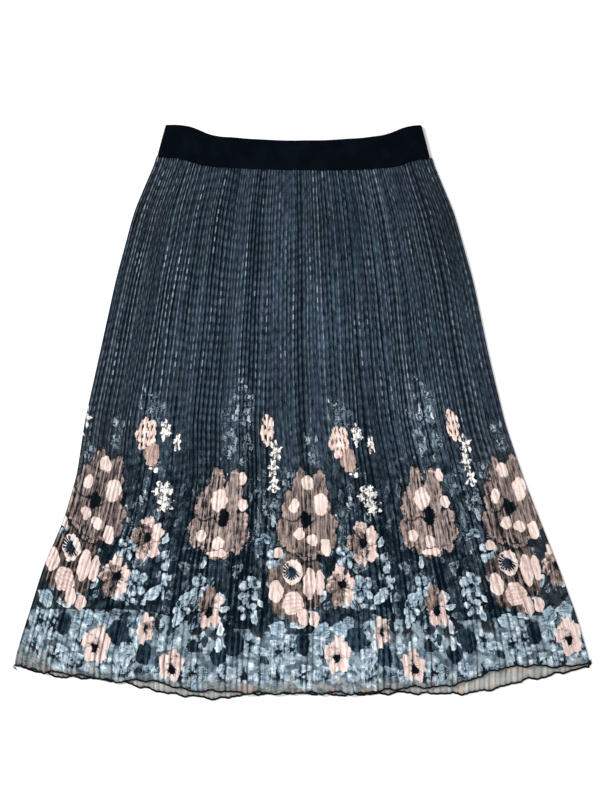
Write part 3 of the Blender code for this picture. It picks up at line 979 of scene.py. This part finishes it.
def waves(number, seeds, pitch):
    """A slow, even wander between -1 and 1, for an array of numbers."""
    total = 0.0
    for i, seed in enumerate(seeds):
        total = total + np.sin(number * 2 * pi / (pitch * (0.62 + 0.41 * i)) + seed)
    return total / len(seeds)


def pleat_heights(places, down, seed):
    """How far each point of the cloth stands above its pleat's valley."""
    rng = np.random.default_rng(seed)
    number = np.minimum(places.astype(int), PLEATS - 1)
    phase = places - number
    size = rng.uniform(0.42, 1.15, PLEATS)[number]
    lean = 0.10 * waves(down + places[None, :] * 3.7 * MM, (0.3, 2.2, 4.1), 0.17)
    leaning = phase[None, :] ** CREST + lean * np.sin(pi * phase)[None, :]
    crest = np.sin(pi * np.clip(leaning, 0, 1)) ** 0.85
    wander = 1 + 0.22 * waves(down + size[None, :] * 0.9, (1.0, 3.0, 5.2), 0.11)
    return mix(RISE_WAIST, RISE_HEM, down / down.max()) * size[None, :] * wander * crest


def hem_scallops(places, share):
    """How far the cloth hangs lower at the pleats' ridges, next to the hem."""
    rng = np.random.default_rng(PLEAT_SEED)
    number = np.minimum(places.astype(int), PLEATS - 1)
    size = rng.uniform(0.2, 1.0, PLEATS)[number]
    return HEM_SCALLOP * (size * np.sin(pi * (places - number)))[None, :] * smooth(0.97, 1.0, share)


def fold_heights(u, share):
    """How far the front's soft folds raise each point."""
    added = np.zeros(np.broadcast(u, share).shape)
    for fold in FOLDS:
        reach = np.clip(1 - ((u - fold.u - fold.drift * share) / fold.half) ** 2, 0, None)
        begins = smooth(fold.start - 0.02, fold.start + 0.08, share)
        ends = smooth(fold.end - 0.15, fold.end, share)
        added += fold.height * MM * reach**2 * begins * (1 - ends)
    return added


def print_places(x, y, places):
    """Where the print lies on each point: mm across and down, and one pleat's width there."""
    down = (SEAM_Y - y) / MM
    fan = (FAN_LEVEL - FAN_TOP) / (down - FAN_TOP)
    across = (x - FAN_X) / MM * fan
    width = np.abs(np.gradient(across, axis=1) / np.gradient(places)[None, :])
    return np.stack([across, down, width], -1)


def pleated_shell(name, grid, places, material, reverse, front):
    """A panel of the outer cloth: printed outside, plain on the side that faces the lining.
    Its points know their pleat, how far below the seam and how far past the lining they lie."""
    x, y = grid[..., 0], grid[..., 1]
    printed = print_places(x, y, places).reshape(-1, 3)
    down = (SEAM_Y - y) / MM
    lining_hem = OUTLINES["lining_front" if front else "lining_back"].lower(x)
    bare = (lining_hem - y) / MM
    pleat = np.stack([np.broadcast_to(places, x.shape) + 1e-4, down, bare], -1).reshape(-1, 3)
    points, faces, lower = shell(grid, MESH_THICK)
    vectors = {"print": np.concatenate([printed, printed]), "pleat": np.concatenate([pleat, pleat])}
    materials = (material, reverse) if front else (reverse, material)
    piece = new_piece(name, points, faces, *materials, sides=lower.astype(np.int32), **vectors)
    return piece


def front_base(u, x, y):
    """Height of the front's underside: over the lining, down onto the back panel past it."""
    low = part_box("back_panel")[1].z + GAP
    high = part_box("lining_front")[1].z + GAP
    beyond = OUTLINES["lining_front"].lower(x) - PAST_LINING - y
    lengthwise = 1 - smooth(0, DROP, beyond)
    sideways = smooth(SIDE_LOW, LINING_SIDE - SIDE_LEDGE, np.minimum(u, 1 - u))
    return mix(low, high, lengthwise * sideways)


def front_cloth(material, reverse):
    outline = OUTLINES["front_panel"]
    columns, places = pleat_columns()
    rows = np.linspace(0, 1, CLOTH_ROWS)
    x, y = outline.grid(columns, rows)
    u, share = columns[None, :], rows[:, None]
    y = y - hem_scallops(places, share)
    z = front_base(u, x, y) + fold_heights(u, share) + pleat_heights(places, SEAM_Y - y, 21)
    hem_wave = 0.5 - 0.5 * np.cos(2 * pi * mix(*outline.bottom_ends, u) / HEM_LIFT_PITCH)
    z += HEM_LIFT * hem_wave * smooth(0.90, 1.0, share) * smooth(0.0, SIDE_LOW, np.minimum(u, 1 - u))
    grid = np.stack([x, y, z], -1)
    piece = pleated_shell("front_cloth", grid, places, material, reverse, front=True)
    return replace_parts(piece, "front_panel"), grid


def back_cloth(material, reverse):
    outline = OUTLINES["back_panel"]
    columns, places = pleat_columns()
    rows = np.linspace(0, 1, CLOTH_ROWS)
    x, y = outline.grid(columns, rows)
    y = y - hem_scallops(places, rows[:, None])
    z = 0.05 * MM + pleat_heights(places, SEAM_Y - y, 52) * 0.85
    grid = np.stack([x, y, z], -1)
    piece = pleated_shell("back_cloth", grid, places, material, reverse, front=False)
    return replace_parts(piece, "back_panel"), grid


def lining_cloth_piece(name, node, material):
    """One layer of the lining, with soft waves and a turned hem."""
    columns, rows = np.linspace(0, 1, 90), np.linspace(0, 1, 110)
    x, y = OUTLINES[node].grid(columns, rows)
    low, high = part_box(node)
    room = high.z - low.z - LINING_THICK
    z = low.z + room * (0.5 + 0.45 * waves(x + 0.4 * y, (0.5, 2.5, 4.4), 0.09))
    hem = smooth(0.972, 0.976, rows)[:, None] * 0.2 * MM
    points, faces, _ = shell(np.stack([x, y, z + hem], -1), LINING_THICK)
    piece = new_piece(name, points, faces, material)
    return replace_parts(piece, node)


# ---------------------------------------------------------------------------------------------
# Waistband
# ---------------------------------------------------------------------------------------------


class Band:
    """The elastic's outline, read from its solid."""

    def __init__(self):
        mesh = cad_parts["waistband"].data
        points = np.array([v.co for v in mesh.vertices])
        self.low, self.high = points.min(0), points.max(0)
        order = np.argsort(points[:, 0])
        points = points[order]
        self.seam_ends = points[0, 0], points[-1, 0]
        outline = Outline("waistband")
        self.seam = outline.lower
        top = points[points[:, 1] > self.high[1] - 2 * MM]
        self.top_ends = top[:, 0].min(), top[:, 0].max()
        at = np.linspace(*self.top_ends, 200)[1:-1]
        ys = evened(outline.crossings(0, at)[:, 1], 2)
        self.top = lambda x: np.interp(x, at, ys)


def band_section(band, inset):
    """The flattened ring's section, once round: share across from -1 to 1, and height."""
    half = (band.high[2] - band.low[2]) / 2
    radius = half - inset
    reach = (band.seam_ends[1] - band.seam_ends[0]) / 2
    straight = 1 - half / reach
    run = np.linspace(-straight, straight, BAND_STATIONS)
    angle = np.linspace(pi / 2, -pi / 2, BAND_TURNS)[1:-1]
    right = np.stack([straight + radius / reach * np.cos(angle), half + radius * np.sin(angle)], -1)
    left = np.stack([-straight - radius / reach * np.cos(angle), half - radius * np.sin(angle)], -1)
    upper = np.stack([run, np.full(BAND_STATIONS, half + radius)], -1)
    under = np.stack([run[::-1], np.full(BAND_STATIONS, half - radius)], -1)
    return np.concatenate([upper, right, under, left])


def waistband(material):
    """A ring of elastic, flattened, its two edges a little rounded."""
    band = Band()
    rows = np.array(BAND_ROWS)
    rounding = BAND_ROUNDING * np.clip(1 - np.minimum(rows, 1 - rows) / 0.04, 0, 1) ** 2
    layers, vectors = [], []
    for inset in (0.0, ELASTIC_THICK):
        layer = []
        for row, taper in zip(rows, rounding):
            edge = inset + taper if inset == 0.0 else inset - taper
            section = band_section(band, edge)
            across, height = section[:, 0], section[:, 1]
            seam_x = mix(*band.seam_ends, (across + 1) / 2)
            top_x = mix(*band.top_ends, (across + 1) / 2)
            x = mix(seam_x, top_x, row)
            y = mix(band.seam(seam_x) - SEAM_LAP, band.top(top_x), row)
            ripple = waves(x, (0.4, 1.9, 3.3), 0.05) * (height > np.mean(height))
            layer.append(np.stack([x, y, height + BAND_RIPPLE * (ripple - 1)], -1))
            vectors.append(np.stack([np.full(len(x), row * ELASTIC_WIDE), x / MM, height / MM], -1))
        layers.append(np.array(layer))
    count = len(rows) * layers[0].shape[1]
    columns = layers[0].shape[1]
    points = np.concatenate([layer.reshape(-1, 3) for layer in layers])
    points[:, 2] = np.maximum(points[:, 2], 0.0)
    faces = [grid_faces(len(rows), columns, wrap=True, flip=True)]
    faces.append(grid_faces(len(rows), columns, start=count, wrap=True))
    ring = np.arange(columns)
    after = (ring + 1) % columns
    last = (len(rows) - 1) * columns
    faces.append(np.stack([ring, after, after + count, ring + count], -1))
    faces.append(np.stack([last + after, last + ring, last + ring + count, last + after + count], -1))
    web = np.concatenate(vectors)
    piece = new_piece("waistband_elastic", points, np.concatenate(faces), material, web=web)
    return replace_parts(piece, "waistband")


# ---------------------------------------------------------------------------------------------
# Thread
# ---------------------------------------------------------------------------------------------


def resampled(line, step):
    """A line again, with points a step apart."""
    lengths = np.concatenate([[0.0], np.cumsum(np.linalg.norm(np.diff(line, axis=0), axis=1))])
    at = np.arange(0, lengths[-1], step)
    return np.stack([np.interp(at, lengths, line[:, k]) for k in range(3)], -1)


def tube(line, radii, sides, start=0):
    """Points and faces of a tube along a line. radii are its half width and half height."""
    ahead = np.gradient(line, axis=0)
    ahead /= np.linalg.norm(ahead, axis=1, keepdims=True)
    beside = np.cross(ahead, (0.0, 0.0, 1.0))
    beside /= np.linalg.norm(beside, axis=1, keepdims=True)
    above = np.cross(beside, ahead)
    angle = np.arange(sides) * 2 * pi / sides
    ring = beside[:, None] * (radii[0] * np.cos(angle))[None, :, None]
    ring = ring + above[:, None] * (radii[1] * np.sin(angle))[None, :, None]
    points = (line[:, None] + ring).reshape(-1, 3)
    faces = grid_faces(len(line), sides, start, wrap=True)
    return points, faces


def raised(line, height, least=0.0):
    """A line moved up, and nowhere lower than least."""
    line = line + (0, 0, height)
    line[:, 2] = np.maximum(line[:, 2], least)
    return line


def overlock(name, edge, material):
    """A hem's dense overlocking: a flat core along the edge, wrapped in thread."""
    line = resampled(edge, OVERLOCK_STEP)
    points, faces = tube(line, OVERLOCK_CORE, 8)
    turns = len(line) / STITCH_STEPS
    steps = np.linspace(0, len(line) - 1.001, int(turns * STITCH_POINTS))
    path = np.stack([np.interp(steps, np.arange(len(line)), line[:, k]) for k in range(3)], -1)
    ahead = np.gradient(path, axis=0)
    ahead /= np.linalg.norm(ahead, axis=1, keepdims=True)
    beside = np.cross(ahead, (0.0, 0.0, 1.0))
    angle = steps / STITCH_STEPS * 2 * pi
    wrap = path + beside * (OVERLOCK_WRAP[0] * np.cos(angle))[:, None]
    wrap[:, 2] += OVERLOCK_WRAP[1] * np.sin(angle)
    more, more_faces = tube(wrap, (OVERLOCK_YARN, OVERLOCK_YARN), 4, start=len(points))
    points, faces = np.concatenate([points, more]), np.concatenate([faces, more_faces])
    piece = new_piece(name, points, faces, material)
    return piece


def side_seams(front_grid, back_grid, material):
    """The two side seams: a narrow rolled edge that joins the front to the back."""
    points, faces = np.zeros((0, 3)), np.zeros((0, 4), int)
    for side in (0, -1):
        above, below = front_grid[:, side], back_grid[:, side]
        y = np.linspace(above[0, 1] - 1 * MM, above[-1, 1] + 1 * MM, 160)
        halves = [[np.interp(-y, -line[:, 1], line[:, k]) for k in (0, 2)] for line in (above, below)]
        x, z = np.mean(halves, axis=0)
        line = np.stack([x, y, np.maximum(z, SEAM_THICK) + SEAM_THICK / 2], -1)
        more, more_faces = tube(line, (SEAM_WIDE / 2, SEAM_THICK), 8, start=len(points))
        points, faces = np.concatenate([points, more]), np.concatenate([faces, more_faces])
    piece = new_piece("side_seams", points, faces, material)
    return piece


def thread_ends(corners, material):
    """Loose ends of the overlocking at the hem's corners, lying in small curls."""
    rng = Random(THREAD_SEED)
    points, faces = np.zeros((0, 3)), np.zeros((0, 4), int)
    along = np.linspace(0, 1, 24)
    for corner, outward, count in corners:
        for _ in range(count):
            heading = outward + rng.uniform(-1.2, 1.2)
            bend = rng.uniform(-5.0, 5.0)
            reach = rng.uniform(4, 9) * MM
            angle = heading + bend * along
            x = corner[0] + np.cumsum(np.cos(angle)) * reach / len(along)
            y = corner[1] + np.cumsum(np.sin(angle)) * reach / len(along)
            z = np.maximum(mix(corner[2], THREAD_THICK, smooth(0.0, 0.5, along)), THREAD_THICK)
            line = np.stack([x, y, z + rng.uniform(0, 1) * MM * along], -1)
            more, more_faces = tube(line, (THREAD_THICK / 2, THREAD_THICK / 2), 5, start=len(points))
            points, faces = np.concatenate([points, more]), np.concatenate([faces, more_faces])
    piece = new_piece("hem_thread_ends", points, faces, material)
    return piece


# ---------------------------------------------------------------------------------------------
# The set
# ---------------------------------------------------------------------------------------------


def shot_camera():
    """Straight above the skirt."""
    data = bpy.data.cameras.new("shot")
    data.lens = LENS
    camera = bpy.data.objects.new("shot", data)
    away = VIEW_TALL * LENS / data.sensor_width
    camera.location = (FAN_X + VIEW_SHIFT, SEAM_Y - VIEW_DROP, VIEW_LEVEL + away)
    bpy.context.scene.collection.objects.link(camera)
    bpy.context.scene.camera = camera


def softbox(name, place, side, power):
    """A square light that looks at the skirt's middle."""
    data = bpy.data.lights.new(name, "AREA")
    data.shape = "SQUARE"
    data.size = side
    data.energy = power
    light = bpy.data.objects.new(name, data)
    light.location = place
    light.rotation_euler = (-Vector(place)).to_track_quat("-Z", "Y").to_euler()
    bpy.context.scene.collection.objects.link(light)


def studio():
    """A pale floor under the skirt, two softboxes and an even sky."""
    floor = Finish("pale_floor").surface({"Base Color": linear("f4f4f4"), "Roughness": 0.9})
    mesh = bpy.data.meshes.new("floor")
    corners = [(x * FLOOR_HALF, y * FLOOR_HALF, 0) for x, y in ((-1, -1), (1, -1), (1, 1), (-1, 1))]
    mesh.from_pydata(corners, [], [(0, 1, 2, 3)])
    mesh.materials.append(floor)
    plane = bpy.data.objects.new("floor", mesh)
    plane.location.z = -0.2 * MM
    bpy.context.scene.collection.objects.link(plane)
    softbox("key", place=(-2.2, 1.2, 2.3), side=1.2, power=130)
    softbox("fill", place=(1.6, -0.3, 2.2), side=2.0, power=22)
    world = bpy.data.worlds.new("studio")
    world.use_nodes = True
    sky = world.node_tree.nodes["Background"]
    sky.inputs["Color"].default_value = (1.0, 1.0, 1.0, 1.0)
    sky.inputs["Strength"].default_value = SKY
    bpy.context.scene.world = world
    bpy.context.scene.view_settings.view_transform = "Standard"


shot_camera()
studio()

mesh_cloth = printed_mesh()
mesh_back = mesh_reverse()
lining = lining_cloth()
thread = overlock_thread()

front, front_grid = front_cloth(mesh_cloth, mesh_back)
back, back_grid = back_cloth(mesh_cloth, mesh_back)
front_lining = lining_cloth_piece("lining_front_cloth", "lining_front", lining)
back_lining = lining_cloth_piece("lining_back_cloth", "lining_back", lining)
band = waistband(elastic_web())
front_edge = raised(front_grid[-1], MESH_THICK / 2)
back_edge = raised(back_grid[-1], MESH_THICK / 2, HEM_CLEAR)
front_hem = overlock("front_hem_overlock", front_edge, thread)
back_hem = overlock("back_hem_overlock", back_edge, thread)
seams = side_seams(front_grid, back_grid, thread)
left_corner, right_corner = front_grid[-1, 0], front_grid[-1, -1]
ends = thread_ends([(left_corner, pi, LOOSE_ENDS[0]), (right_corner, 0.0, LOOSE_ENDS[1])], thread)
